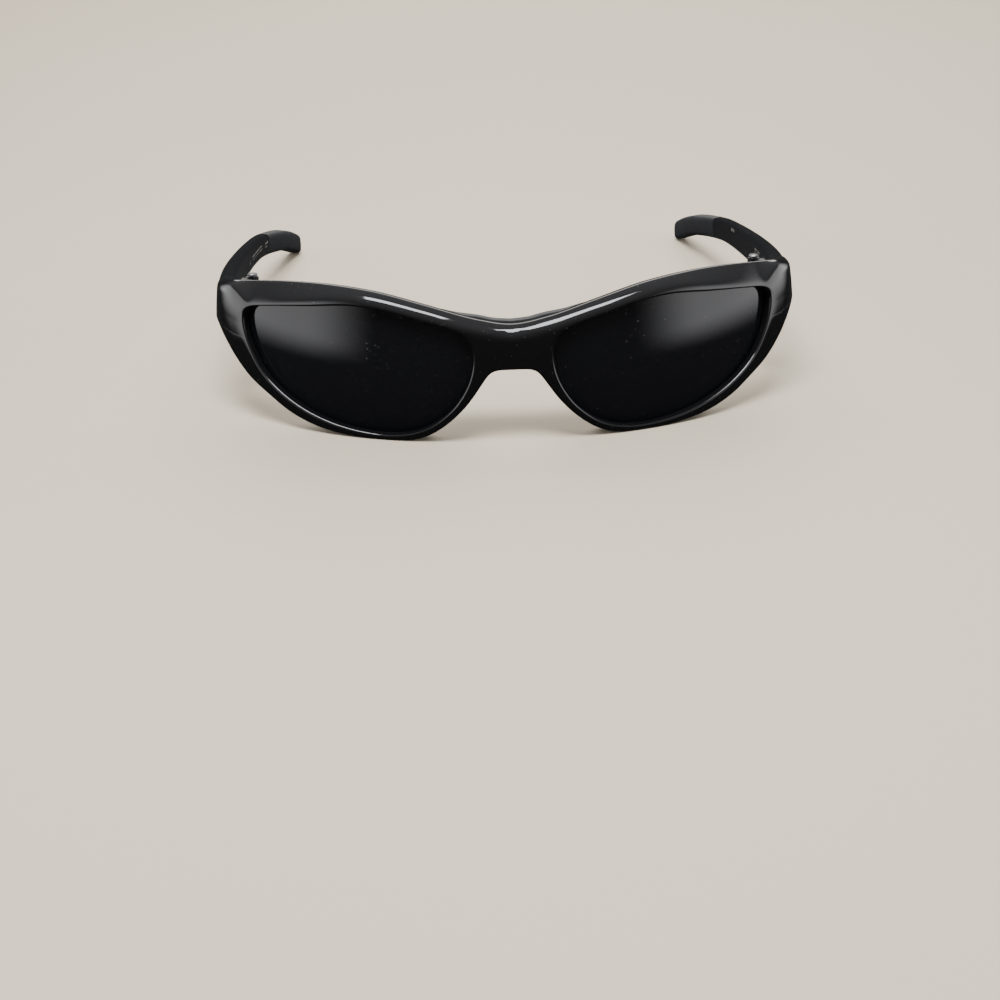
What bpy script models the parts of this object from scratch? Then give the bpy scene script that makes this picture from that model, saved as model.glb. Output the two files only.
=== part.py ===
"""Wraparound sport sunglasses: a one-piece wrap front with two lenses and a rubber nose saddle, and two
temples with rubber tips on screwed hinges. They stand open on their rims and temple tips.

Everything is laid out flat first, in millimetres: s runs along the wrap from the middle of the bridge,
round the corner and back along the temple, v is the height, and w the depth outwards from the outer skin,
so w is negative inside the wall. wrap() bends that sheet round the face, and to_row() tips the glasses so
that they stand, and turns millimetres into metres.
"""
import math

import bmesh
import bpy
from mathutils import Matrix, Vector

MM = 0.001
GAP = 0.3                     # between pieces that touch

# The wrap in plan: runs of (length, turn in degrees), from the bridge to the end of the temple.
WRAP_RUNS = ((9, 0), (62, 44), (13, 40), (26, 6), (50, 4), (46, 10))
FACE_RADIUS = 90.0            # the front's upright curvature
TILT = math.radians(6.23)     # how far the worn front leans back when the glasses stand on a table
FLOOR_DROP = 17.83            # height of the bridge's middle above the table
DEPTH_CENTRE = 76.91          # from the bridge's skin to the middle of the open glasses

# Front frame: outlines as (s, v), and depths.
FRONT_END = 87.0
FRAME_DEPTH = 5.2
EDGE = 0.5                    # rounding of the frame's edges
FLARE = 0.5                   # how far the lower edge stands out towards the face, so that it rests flat
LENS_CENTRE = (38.0, -1.0)
BROW_TOP = (
    (-8, 10.7), (0, 9.3), (8, 10.7), (20, 14.2), (32, 17.1), (44, 18.4), (56, 18.4), (68, 17.5), (78, 16.5),
    (90, 15.6),
)
BROW_CREASE = (
    (-8, 9.0), (0, 8.0), (8, 9.0), (20, 12.8), (32, 15.5), (39, 16.0), (50, 14.5), (58, 13.2), (66, 12.2),
    (90, 11.0),
)
FACET_DEPTH = ((0, 2.2), (20, 2.2), (38, 2.4), (54, 3.0), (90, 3.0))
MITRE_FOOT = 66.0             # where the brow facet starts to run out
MITRE_INNER = 2.4             # how far its inner and outer edges lean back by the time they reach the top
MITRE_OUTER = 7.2
SHOULDER = 2.5                # rounding of the corner's top edge, past the facet
LOWER_EDGE = (
    (87, 7.0), (84, 6.6), (79, 5.4), (74.5, 2.2), (70.5, -1.9), (66.5, -5.6), (61, -9.2), (55, -12.9),
    (48, -15.6), (40, -17.1), (32, -17.8), (25, -17.7), (20, -16.4), (15, -13.2), (10.4, -8.6), (6.4, -2.9),
    (5.1, -1.4), (3.4, -1.0), (0, -1.0),
)
OPENING = (
    (9.1, 2.5), (9.6, -2.0), (11.6, -6.5), (15, -10.8), (21, -14.9), (28.5, -16.4), (38, -15.6),
    (47, -13.2), (55, -9.4), (62, -3.9), (66, 2.5), (67.8, 8.2), (66.6, 11.2), (60, 12.3), (48, 13.2),
    (38, 13.8), (30, 12.9), (21, 10.6), (13.5, 8.4), (10, 6.2),
)
LENS_RECESS = 1.8             # from the frame's skin to the groove
GROOVE_WIDTH = 2.5
GROOVE_DEPTH = 0.8
LENS_THICKNESS = 1.9

# Steps round the frame and across it.
CENTRE_STEPS = 2
BROW_STEPS = 28
BUTT_STEPS = 3
LOWER_STEPS = 36
INNER_STEPS = 3
OUTER_STEPS = 2

# Nose saddle, half of its outline from the top of the middle round to the bottom of the middle.
SADDLE_OUTLINE = (
    (0, 9.7), (4, 10.1), (8, 11.1), (13, 11.9), (18.4, 13.0), (19.3, 12.0), (13, 9.4), (9.0, 6.6), (8.1, 2.5),
    (8.6, -2.0), (10.6, -6.6), (14, -10.9), (15.4, -12.6), (13.9, -12.6), (9.6, -8.2), (5.9, -2.6),
    (4.4, -0.8), (0, -0.5),
)
SADDLE_DEPTH = 4.2

# Temples: top and bottom edges and thickness as (s, value).
TEMPLE_START = FRONT_END + 0.4
TEMPLE_END = 206.0
TEMPLE_TOP = (
    (87, 14.2), (97, 14.5), (110, 14.4), (125, 14.0), (150, 12.9), (162, 12.1), (186, 9.3), (196, 7.2),
    (206, 4.0),
)
TEMPLE_BOTTOM = (
    (87, 7.0), (100, 6.4), (125, 6.0), (150, 6.0), (162, 5.6), (186, 3.0), (196, 0.8), (206, -2.0),
)
TEMPLE_THICKNESS = ((87, 5.2), (105, 4.2), (140, 3.6), (168, 3.8), (190, 4.6), (206, 4.4))
TEMPLE_ROUNDING = ((87, 1.8), (108, 1.1), (206, 1.1))
GRIP_START = 168.0
GRIP_WALL = 0.8
TAIL_END = 199.0
CORE_SIZE = (1.9, 1.1)        # height and thickness of the stiffening strip
CORE_RUN = (88.5, 160.0)
CHANNEL_CLEARANCE = 0.3

# Hinges, on an upright axis inside each corner.
HINGE_AXIS = (61.3, 37.2)
KNUCKLE_RADIUS = 1.5
SCREW_RADIUS = 0.6
SCREW_HOLE = 0.85
KNUCKLES = ((7.2, 9.0), (10.1, 12.1), (13.2, 15.0))    # lower front, temple, upper front
WASHERS = ((9.3, 9.8), (12.4, 12.9))
SCREW_SPAN = (7.4, 15.3)
SCREW_HEAD = (1.25, 0.6)      # radius and height
LEAF_THICKNESS = 1.0
FRONT_LEAF_RUN = (78.0, 86.4)
TEMPLE_LEAF_RUN = (88.4, 97.0)
FRONT_LEAF_HEIGHT = (7.6, 14.6)
TEMPLE_LEAF_HEIGHT = (8.2, 12.8)
ARM_REACH = 2.4               # how far the knuckle arms run along the leaf
ARM_INSET = 0.15              # how much shorter an arm is than its knuckle, above and below


def plan(s):
    """Where the skin is in plan after a run of s from the middle, and which way it heads."""
    x, y, heading, left = 0.0, 0.0, 0.0, s
    for length, turn in WRAP_RUNS:
        run = min(left, length)
        bend = math.radians(turn) * run / length
        if bend:
            radius = run / bend
            x += radius * (math.sin(heading + bend) - math.sin(heading))
            y += radius * (math.cos(heading) - math.cos(heading + bend))
        else:
            x += run * math.cos(heading)
            y += run * math.sin(heading)
        heading += bend
        left -= run
    return x + left * math.cos(heading), y + left * math.sin(heading), heading


def wrap(s, v, w=0.0):
    """A point of the flat layout, bent round the face, in millimetres from the bridge's skin."""
    x, y, heading = plan(abs(s))
    inward = Vector((-math.sin(heading), math.cos(heading), 0))
    outward = Vector((math.sin(heading), -math.cos(heading), v / FACE_RADIUS)).normalized()
    point = Vector((x, y, v)) + inward * v * v / (2 * FACE_RADIUS) + outward * w
    if s < 0:
        point.x = -point.x
    return point


def to_row(point):
    """Tips a worn-position point so that the glasses stand on the table, in metres."""
    x, y, z = point
    back = y * math.cos(TILT) + z * math.sin(TILT) - DEPTH_CENTRE
    up = z * math.cos(TILT) - y * math.sin(TILT) + FLOOR_DROP
    return Vector((x, back, max(up, 0.0))) * MM


def curve_value(points, x):
    """A smooth curve through (x, value) points, read at x."""
    last = len(points) - 1
    i = 0
    while i < last - 1 and x > points[i + 1][0]:
        i += 1
    (x0, y0), (x1, y1) = points[i], points[i + 1]
    slope = (y1 - y0) / (x1 - x0)
    before = slope if i == 0 else (y1 - points[i - 1][1]) / (x1 - points[i - 1][0])
    after = slope if i + 1 == last else (points[i + 2][1] - y0) / (points[i + 2][0] - x0)
    t = min(max((x - x0) / (x1 - x0), 0.0), 1.0)
    step = x1 - x0
    return (
        y0 * (1 + 2 * t) * (1 - t) ** 2 + before * step * t * (1 - t) ** 2
        + y1 * t * t * (3 - 2 * t) + after * step * t * t * (t - 1)
    )


def smooth_path(points, closed, steps):
    """A smooth path through 2-D points, with the same number of steps between each two."""
    points = [Vector(p) for p in points]
    count = len(points)
    path = []
    for i in range(count if closed else count - 1):
        a, b = points[i], points[(i + 1) % count]
        before = points[i - 1] if closed or i else a
        after = points[(i + 2) % count] if closed or i + 2 < count else b
        for k in range(steps):
            t = k / steps
            path.append(
                a * (1 + 2 * t) * (1 - t) ** 2 + (b - before) / 2 * t * (1 - t) ** 2
                + b * t * t * (3 - 2 * t) + (after - a) / 2 * t * t * (t - 1)
            )
    if not closed:
        path.append(points[-1])
    return path


def spaced(path, count):
    """count + 1 points at equal distances along a path, its ends included."""
    reach = [0.0]
    for a, b in zip(path, path[1:]):
        reach.append(reach[-1] + (b - a).length)
    found, i = [], 0
    for k in range(count + 1):
        goal = reach[-1] * k / count
        while i < len(path) - 2 and reach[i + 1] < goal:
            i += 1
        found.append(path[i].lerp(path[i + 1], (goal - reach[i]) / (reach[i + 1] - reach[i])))
    return found


def opening_reach(direction, path):
    """How far the lens opening's edge is from the lens centre in a direction."""
    centre = Vector(LENS_CENTRE)
    for a, b in zip(path, path[1:] + path[:1]):
        p, q = a - centre, b - centre
        cross_p = direction.x * p.y - direction.y * p.x
        cross_q = direction.x * q.y - direction.y * q.x
        if cross_p * cross_q <= 0 and cross_p != cross_q:
            hit = p.lerp(q, cross_p / (cross_p - cross_q))
            if hit.dot(direction) > 0:
                return hit.length
    raise ValueError("the lens centre is outside the opening")


def skin_depth(s, v):
    """How deep a point of the front lies below the skin: the brow facet, and past it the rounded shoulder."""
    crease = curve_value(BROW_CREASE, s)
    top = curve_value(BROW_TOP, s)
    rise = min(max((v - crease) / (top - crease), 0.0), 1.0)
    inner = MITRE_FOOT + MITRE_INNER * rise
    outer = MITRE_FOOT + MITRE_OUTER * rise
    fade = 1.0 if s <= inner else max(0.0, 1 - (s - inner) / (outer - inner)) if s < outer else 0.0
    over = min(max(v - top + SHOULDER, 0.0), SHOULDER * 0.98)
    shoulder = SHOULDER - math.sqrt(SHOULDER ** 2 - over ** 2)
    return -curve_value(FACET_DEPTH, s) * rise * fade - shoulder * (1 - fade)


def front_rim():
    """The outer outline of the left half as (point, inward direction, flare), from the arch up the middle,
    along the brow, down the butt and back along the lower edge."""
    top = [Vector((s, curve_value(BROW_TOP, s))) for s in [FRONT_END * k / 200 for k in range(201)]]
    brow = spaced(top, BROW_STEPS)
    butt_top, butt_foot = brow[-1], Vector(LOWER_EDGE[0])
    butt = [butt_top.lerp(butt_foot, k / BUTT_STEPS) for k in range(BUTT_STEPS + 1)]
    lower = spaced(smooth_path(LOWER_EDGE, False, 12), LOWER_STEPS)
    middle = [lower[-1].lerp(brow[0], k / CENTRE_STEPS) for k in range(1, CENTRE_STEPS)]
    loop = brow + butt[1:] + lower[1:]
    lower_start = len(brow) + BUTT_STEPS
    rim = []
    for i, point in enumerate(loop):
        if i in (0, len(loop) - 1):
            along = Vector((1, 0)) if i == 0 else Vector((-1, 0))
        else:
            along = (loop[i + 1] - loop[i - 1]).normalized()
        from_ends = min(i - lower_start, len(loop) - 1 - i)
        flare = FLARE * min(max(from_ends / 5, 0.0), 1.0)
        rim.append((point, Vector((along.y, -along.x)), flare))
    return [(point, None, 0.0) for point in middle] + rim


def crease_share(start, end):
    """How far along a line from the opening to the outer edge the brow crease is met, as a fraction."""
    default = INNER_STEPS / (INNER_STEPS + OUTER_STEPS)
    above = [k / 40 for k in range(41) if skin_depth(*start.lerp(end, k / 40)) < 0]
    if not above:
        return default
    return min(max(above[0] - 1 / 80, 0.3), 0.85)


def frame_section(point, inward, flare, path):
    """One cross-section of the front frame, from the opening's front edge round to its groove."""
    centre = Vector(LENS_CENTRE)
    direction = (point - centre).normalized()
    opening = centre + direction * opening_reach(direction, path)
    inset = inward * EDGE if inward else Vector((0, 0))
    lip, edge = opening + direction * EDGE, point + inset
    share = crease_share(lip, edge)
    fractions = [share * k / INNER_STEPS for k in range(INNER_STEPS + 1)]
    fractions += [share + (1 - share) * k / OUTER_STEPS for k in range(1, OUTER_STEPS + 1)]
    across = [lip.lerp(edge, f) for f in fractions]
    back, groove = -FRAME_DEPTH, opening + direction * GROOVE_DEPTH
    section = [(opening, -EDGE)] + [(p, skin_depth(*p)) for p in across]
    if inward:
        section += [(point, skin_depth(*edge) - EDGE), (point - inward * flare, back + EDGE)]
        section += [(edge - inward * flare, back)]
    else:
        section += [None, None, (edge, back)]
    section += [(p, back) for p in reversed(across[:-1])]
    section += [(opening, back + EDGE), (opening, -LENS_RECESS - GROOVE_WIDTH)]
    return section + [(groove, -LENS_RECESS - GROOVE_WIDTH), (groove, -LENS_RECESS), (opening, -LENS_RECESS)]


def front_frame_mesh():
    """The whole front: both halves' rings of cross-sections, joined along the middle of the bridge."""
    path = smooth_path(OPENING, True, 12)
    sections = [frame_section(*station, path) for station in front_rim()]
    width = len(sections[0])
    bm = bmesh.new()
    for side in (1, -1):
        rows = [
            [corner and bm.verts.new(wrap(side * corner[0].x, corner[0].y, corner[1])) for corner in section]
            for section in sections
        ]
        for i, row in enumerate(rows):
            after = rows[(i + 1) % len(rows)]
            for k in range(width):
                corners = (row[k], row[(k + 1) % width], after[(k + 1) % width], after[k])
                if None not in corners:
                    bm.faces.new(corners)
    bmesh.ops.remove_doubles(bm, verts=bm.verts, dist=0.001)
    return bm


def lens_mesh():
    """A lens: the opening's outline, reaching into the groove, as a shell of even thickness."""
    path = smooth_path(OPENING, True, 12)
    centre = Vector(LENS_CENTRE)
    outline = []
    for point, _, _ in front_rim():
        direction = (point - centre).normalized()
        outline.append(direction * (opening_reach(direction, path) + GROOVE_DEPTH - GAP))
    front = -LENS_RECESS - (GROOVE_WIDTH - LENS_THICKNESS) / 2
    bm = bmesh.new()
    shells = []
    for depth in (front, front - LENS_THICKNESS):
        rings = []
        for share in (1.0, 0.75, 0.5, 0.25):
            ring = [centre + reach * share for reach in outline]
            rings.append([bm.verts.new(wrap(p.x, p.y, depth)) for p in ring])
        middle = bm.verts.new(wrap(centre.x, centre.y, depth))
        for outer, inner in zip(rings, rings[1:]):
            bridge_rings(bm, outer, inner)
        for a, b in zip(rings[-1], rings[-1][1:] + rings[-1][:1]):
            bm.faces.new((a, b, middle))
        shells.append(rings[0])
    bridge_rings(bm, shells[0], shells[1])
    return bm


def bridge_rings(bm, first, second):
    """Quads between two rings of the same number of corners."""
    for k in range(len(first)):
        after = (k + 1) % len(first)
        bm.faces.new((first[k], first[after], second[after], second[k]))


def wrapped_plate(outline, front, back, step=3.0):
    """A flat outline cut into a grid, bent round the face and given depth."""
    bm = bmesh.new()
    bm.faces.new([bm.verts.new((s, v, 0)) for s, v in outline])
    for axis, low, high in (
        (Vector((1, 0, 0)), min(p[0] for p in outline), max(p[0] for p in outline)),
        (Vector((0, 1, 0)), min(p[1] for p in outline), max(p[1] for p in outline)),
    ):
        count = max(1, round((high - low) / step))
        for k in range(1, count):
            geometry = bm.verts[:] + bm.edges[:] + bm.faces[:]
            place = axis * (low + (high - low) * k / count)
            bmesh.ops.bisect_plane(bm, geom=geometry, plane_co=place, plane_no=axis)
    grown = bmesh.ops.extrude_face_region(bm, geom=bm.faces[:])
    for vert in [g for g in grown["geom"] if isinstance(g, bmesh.types.BMVert)]:
        vert.co.z = 1
    for vert in bm.verts:
        s, v, depth = vert.co
        vert.co = wrap(s, v, back(s) if depth > 0.5 else front(s))
    return bm


def nose_saddle_mesh():
    """The rubber saddle behind the bridge, down both sides of the nose arch."""
    half = smooth_path(SADDLE_OUTLINE, False, 2)
    outline = [(p.x, p.y) for p in half] + [(-p.x, p.y) for p in reversed(half[1:-1])]
    front = -FRAME_DEPTH - GAP
    return wrapped_plate(outline, lambda s: front, lambda s: front - SADDLE_DEPTH)


def section_ring(s, inset=0.0, size=None, scale=1.0):
    """A rounded-rectangle cross-section of the temple at s, or of a strip of its own size at its middle."""
    top, bottom = curve_value(TEMPLE_TOP, s) - inset, curve_value(TEMPLE_BOTTOM, s) + inset
    thickness = curve_value(TEMPLE_THICKNESS, s)
    height, depth = size or (top - bottom, thickness - 2 * inset)
    height, depth = height * scale, depth * scale
    radius = min(curve_value(TEMPLE_ROUNDING, s) - inset / 2, depth * 0.35, height * 0.35)
    ring = []
    for quarter in range(4):
        up = 1 if quarter < 2 else -1
        out = 1 if quarter in (0, 3) else -1
        for corner in range(3):
            turn = math.radians(90 * quarter + 45 * corner)
            v = (top + bottom) / 2 + up * (height / 2 - radius) + radius * math.sin(turn)
            w = -thickness / 2 + out * (depth / 2 - radius) + radius * math.cos(turn)
            ring.append(wrap(s, v, w))
    return ring


def loft(outer, hollow=()):
    """A solid through rings of corners; hollow rings sink a blind hole into its starting end."""
    bm = bmesh.new()
    rings = [[bm.verts.new(p) for p in ring] for ring in outer]
    for first, second in zip(rings, rings[1:]):
        bridge_rings(bm, first, second)
    bm.faces.new(rings[-1])
    if not hollow:
        bm.faces.new(rings[0])
        return bm
    inner = [[bm.verts.new(p) for p in ring] for ring in hollow]
    bridge_rings(bm, rings[0], inner[0])
    for first, second in zip(inner, inner[1:]):
        bridge_rings(bm, first, second)
    bm.faces.new(inner[-1])
    return bm


def stations(start, end, count):
    return [start + (end - start) * k / count for k in range(count + 1)]


def temple_mesh():
    """A temple: full section to the grip, a thinner tail inside it, and a blind channel for its core."""
    channel_size = (CORE_SIZE[0] + 2 * CHANNEL_CLEARANCE, CORE_SIZE[1] + 2 * CHANNEL_CLEARANCE)
    tail_inset = GRIP_WALL + GAP
    body = [section_ring(s) for s in stations(TEMPLE_START, GRIP_START, 16)]
    tail = [section_ring(s, inset=tail_inset) for s in stations(GRIP_START, TAIL_END, 6)]
    channel = [section_ring(s, size=channel_size) for s in stations(TEMPLE_START, CORE_RUN[1] + 1, 12)]
    return loft(body + tail, channel)


def core_mesh():
    return loft([section_ring(s, size=CORE_SIZE) for s in stations(*CORE_RUN, 12)])


def grip_mesh():
    """A rubber tip: a socket over the temple's tail, with a rounded end."""
    rounding = ((2.4, 1.0), (1.2, 0.92), (0.4, 0.72), (0.0, 0.4))
    outer = [section_ring(s) for s in stations(GRIP_START + GAP, TEMPLE_END - 4.0, 8)]
    outer += [section_ring(TEMPLE_END - back, scale=scale) for back, scale in rounding]
    socket = [section_ring(s, inset=GRIP_WALL) for s in stations(GRIP_START + GAP, TAIL_END + GAP, 6)]
    return loft(outer, socket)


def cylinder(radius, low, high, segments=20):
    """An upright cylinder on the hinge axis."""
    bm = bmesh.new()
    place = Matrix.Translation((HINGE_AXIS[0], HINGE_AXIS[1], (low + high) / 2))
    bmesh.ops.create_cone(
        bm, cap_ends=True, segments=segments, radius1=radius, radius2=radius, depth=high - low, matrix=place
    )
    return bm


def box(low, high):
    bm = bmesh.new()
    bmesh.ops.create_cube(bm, size=1)
    for vert in bm.verts:
        vert.co = Vector([low[i] + (vert.co[i] + 0.5) * (high[i] - low[i]) for i in range(3)])
    return bm


def leaf_plate(run, span, skin):
    """A hinge leaf's plate, lying on the inner skin of the frame or temple."""
    (start, end), (low, high) = run, span
    outline = [(start, low), (end, low), (end, high), (start, high)]
    return wrapped_plate(outline, lambda s: -skin(s) - GAP, lambda s: -skin(s) - GAP - LEAF_THICKNESS)


def arm(span, along):
    """The web between a knuckle and its leaf; along is -1 towards the front and 1 towards the temple."""
    x, y = HINGE_AXIS
    ends = sorted((y, y + along * ARM_REACH))
    inner_skin = wrap(FRONT_END, span[1], -FRAME_DEPTH - GAP - LEAF_THICKNESS / 2).x
    return box((x, ends[0], span[0] + ARM_INSET), (inner_skin, ends[1], span[1] - ARM_INSET))


def washer_mesh(span):
    bm = cylinder(KNUCKLE_RADIUS, *span)
    return bm, [cylinder(SCREW_HOLE, span[0] - 1, span[1] + 1)]


def screw_mesh():
    """A hinge screw with a low round head and a driver slot."""
    radius, height = SCREW_HEAD
    low, high = SCREW_SPAN
    x, y = HINGE_AXIS
    profile = (
        (SCREW_RADIUS, low), (SCREW_RADIUS, high), (radius, high), (radius, high + height * 0.6),
        (radius * 0.8, high + height),
    )
    bm = bmesh.new()
    rings = []
    for r, z in profile:
        turns = [2 * math.pi * k / 20 for k in range(20)]
        rings.append([bm.verts.new((x + r * math.cos(t), y + r * math.sin(t), z)) for t in turns])
    for first, second in zip(rings, rings[1:]):
        bridge_rings(bm, first, second)
    bm.faces.new(rings[0])
    bm.faces.new(rings[-1])
    slot = box((x - 2, y - 0.18, high + height * 0.5), (x + 2, y + 0.18, high + height + 1))
    return bm, [slot]


def material(name, colour, roughness, metallic=0.0, alpha=1.0):
    made = bpy.data.materials.new(name)
    made.use_nodes = True
    shader = made.node_tree.nodes["Principled BSDF"]
    shader.inputs["Base Color"].default_value = (*colour, 1)
    shader.inputs["Roughness"].default_value = roughness
    shader.inputs["Metallic"].default_value = metallic
    shader.inputs["Alpha"].default_value = alpha
    return made


def mesh_object(name, bm, side=1, origin=Vector((0, 0, 0))):
    """A mesh object from millimetre geometry on the left side, mirrored to the right for side -1."""
    bmesh.ops.recalc_face_normals(bm, faces=bm.faces)
    for vert in bm.verts:
        vert.co = to_row((vert.co.x * side, vert.co.y, vert.co.z)) - origin
    if side < 0:
        bmesh.ops.reverse_faces(bm, faces=bm.faces)
    mesh = bpy.data.meshes.new(name)
    bm.to_mesh(mesh)
    bm.free()
    made = bpy.data.objects.new(name, mesh)
    bpy.context.scene.collection.objects.link(made)
    made.location = origin
    return made


def node(name, bm, finish, side=1, parent=None, added=(), cut=(), smooth=True):
    """One named piece: its solid, what is joined to it and cut from it, its finish and its parent."""
    origin = parent.location if parent else Vector((0, 0, 0))
    made = mesh_object(name, bm, side, origin)
    for operation, shapes in (("UNION", added), ("DIFFERENCE", cut)):
        for k, shape in enumerate(shapes):
            tool = mesh_object(f"{name}_{operation.lower()}_{k}", shape, side, origin)
            tool.hide_render = True
            tool.display_type = "WIRE"
            boolean = made.modifiers.new(tool.name, "BOOLEAN")
            boolean.operation = operation
            boolean.object = tool
            if parent:
                tool.parent = parent
                tool.location = (0, 0, 0)
    if parent:
        made.parent = parent
        made.location = (0, 0, 0)
    if smooth:
        made.data.shade_smooth()
        made.data.set_sharp_from_angle(angle=math.radians(35))
    made.data.materials.append(finish)
    return made


def build():
    for old in list(bpy.data.objects):
        bpy.data.objects.remove(old)
    gloss = material("gloss_black_frame", (0.012, 0.012, 0.013), 0.12)
    smoke = material("smoke_lens", (0.02, 0.02, 0.022), 0.05)
    rubber = material("soft_rubber", (0.03, 0.03, 0.032), 0.7)
    steel = material("steel", (0.5, 0.5, 0.5), 0.3, 1.0)
    nylon = material("nylon_washer", (0.7, 0.68, 0.62), 0.5)

    node("front_frame", front_frame_mesh(), gloss)
    node("nose_saddle", nose_saddle_mesh(), rubber)
    lower, middle, upper = KNUCKLES
    for side, word in ((1, "left"), (-1, "right")):
        hinge = bpy.data.objects.new(f"{word}_hinge_axis", None)
        bpy.context.scene.collection.objects.link(hinge)
        hinge.location = to_row((side * HINGE_AXIS[0], HINGE_AXIS[1], sum(middle) / 2))

        node(f"lens_{word}", lens_mesh(), smoke, side)
        knuckle = cylinder(KNUCKLE_RADIUS, *lower)
        added = [cylinder(KNUCKLE_RADIUS, *upper), arm(lower, -1), arm(upper, -1)]
        added.append(leaf_plate(FRONT_LEAF_RUN, FRONT_LEAF_HEIGHT, lambda s: FRAME_DEPTH))
        bore = cylinder(SCREW_HOLE, lower[0] - 1, upper[1] + 1)
        node(f"front_hinge_leaf_{word}", knuckle, steel, side, added=added, cut=[bore])
        for place, span in zip(("lower", "upper"), WASHERS):
            disc, hole = washer_mesh(span)
            node(f"hinge_washer_{place}_{word}", disc, nylon, side, cut=hole)
        screw, slot = screw_mesh()
        node(f"hinge_screw_{word}", screw, steel, side, cut=slot)

        node(f"temple_{word}", temple_mesh(), gloss, side, hinge)
        node(f"temple_core_{word}", core_mesh(), steel, side, hinge)
        node(f"temple_grip_{word}", grip_mesh(), rubber, side, hinge)
        knuckle = cylinder(KNUCKLE_RADIUS, *middle)
        added = [arm(middle, 1)]
        added.append(leaf_plate(TEMPLE_LEAF_RUN, TEMPLE_LEAF_HEIGHT, lambda s: curve_value(TEMPLE_THICKNESS, s)))
        bore = cylinder(SCREW_HOLE, middle[0] - 1, middle[1] + 1)
        node(f"temple_hinge_leaf_{word}", knuckle, steel, side, hinge, added=added, cut=[bore])


build()
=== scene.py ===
"""Wraparound sport sunglasses, standing open on a pale table.

The front, the lenses, the saddle and the temples are laid out flat in millimetres and then
bent: s runs along the wrap from the middle of the bridge, round the corner and back along the
temple, v is the height, and w the depth outwards from the outer skin, so w is negative inside
the wall. wrap() bends that sheet round the face, and to_row() tips the glasses so that they
stand, and turns millimetres into metres.
"""
import math

import bmesh
import bpy
import numpy as np
from mathutils import Matrix, Vector


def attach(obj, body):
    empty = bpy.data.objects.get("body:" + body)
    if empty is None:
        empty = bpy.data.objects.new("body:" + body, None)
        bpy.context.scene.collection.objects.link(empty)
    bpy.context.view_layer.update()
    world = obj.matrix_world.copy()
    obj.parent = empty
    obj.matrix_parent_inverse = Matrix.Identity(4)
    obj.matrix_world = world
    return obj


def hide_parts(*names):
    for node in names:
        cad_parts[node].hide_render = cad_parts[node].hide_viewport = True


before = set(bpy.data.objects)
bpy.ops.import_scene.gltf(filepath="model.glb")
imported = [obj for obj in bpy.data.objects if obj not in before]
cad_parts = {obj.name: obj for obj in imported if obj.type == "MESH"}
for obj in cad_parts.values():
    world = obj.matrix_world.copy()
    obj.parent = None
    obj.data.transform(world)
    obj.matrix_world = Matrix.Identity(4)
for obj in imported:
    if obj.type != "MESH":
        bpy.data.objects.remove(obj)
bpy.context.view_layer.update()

MM = 0.001
GAP = 0.3                     # between pieces that touch
SIDES = ((1, "left"), (-1, "right"))

# The wrap in plan: runs of (length, turn in degrees), from the bridge to the end of the temple.
WRAP_RUNS = ((9, 0), (62, 44), (13, 40), (26, 6), (50, 4), (46, 10))
FACE_RADIUS = 90.0            # the front's upright curvature
TILT = math.radians(6.23)     # how far the worn front leans back when the glasses stand on a table
FLOOR_DROP = 17.83            # height of the bridge's middle above the table
DEPTH_CENTRE = 76.91          # from the bridge's skin to the middle of the open glasses

# Front frame: outlines as (s, v), and depths.
FRONT_END = 87.0
FRAME_DEPTH = 5.2
EDGE = 0.5                    # rounding of the frame's edges
FLARE = 0.5                   # how far the lower edge stands out, so that it rests flat
FLARE_RUN = 16.0              # the length over which it comes in
LENS_CENTRE = (38.0, -1.0)
BROW_TOP = (
    (-8, 10.7), (0, 9.3), (8, 10.7), (20, 14.2), (32, 17.1), (44, 18.4), (56, 18.4),
    (68, 17.5), (78, 16.5), (90, 15.6),
)
BROW_CREASE = (
    (-8, 9.0), (0, 8.0), (8, 9.0), (20, 12.8), (32, 15.5), (39, 16.0), (50, 14.5), (58, 13.2),
    (66, 12.2), (90, 11.0),
)
CREASE_ROUNDING = 1.3
FACET_DEPTH = ((0, 2.2), (20, 2.2), (38, 2.4), (54, 3.0), (90, 3.0))
MITRE_FOOT = 66.0             # where the brow facet starts to run out
MITRE_INNER = 2.4             # how far its inner and outer edges lean back by the top
MITRE_OUTER = 7.2
MITRE_WIDTH = 0.3             # between those edges at their foot
SHOULDER = 2.5                # rounding of the corner's top edge, past the facet
SHOULDER_EASING = 0.4
SHOULDER_LIMIT = 0.98         # the share of the rounding that is used, short of upright
SLOPE_REACH = 0.4             # the distance over which the skin's slope is read at the edge
EDGE_GROWTH = 1.2             # how much more a sloping edge is rounded
LOWER_EDGE = (
    (87, 7.0), (84, 6.6), (79, 5.4), (74.5, 2.2), (70.5, -1.9), (66.5, -5.6), (61, -9.2),
    (55, -12.9), (48, -15.6), (40, -17.1), (32, -17.8), (25, -17.7), (20, -16.4), (15, -13.2),
    (10.4, -8.6), (6.4, -2.9), (5.1, -1.4), (3.4, -1.0), (0, -1.0),
)
OPENING = (
    (9.1, 2.5), (9.6, -2.0), (11.6, -6.5), (15, -10.8), (21, -14.9), (28.5, -16.4), (38, -15.6),
    (47, -13.2), (55, -9.4), (62, -3.9), (66, 2.5), (67.8, 8.2), (66.6, 11.2), (60, 12.3),
    (48, 13.2), (38, 13.8), (30, 12.9), (21, 10.6), (13.5, 8.4), (10, 6.2),
)
LENS_RECESS = 1.8             # from the frame's skin to the groove
GROOVE_WIDTH = 2.5
GROOVE_DEPTH = 0.8
LENS_THICKNESS = 1.9

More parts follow.
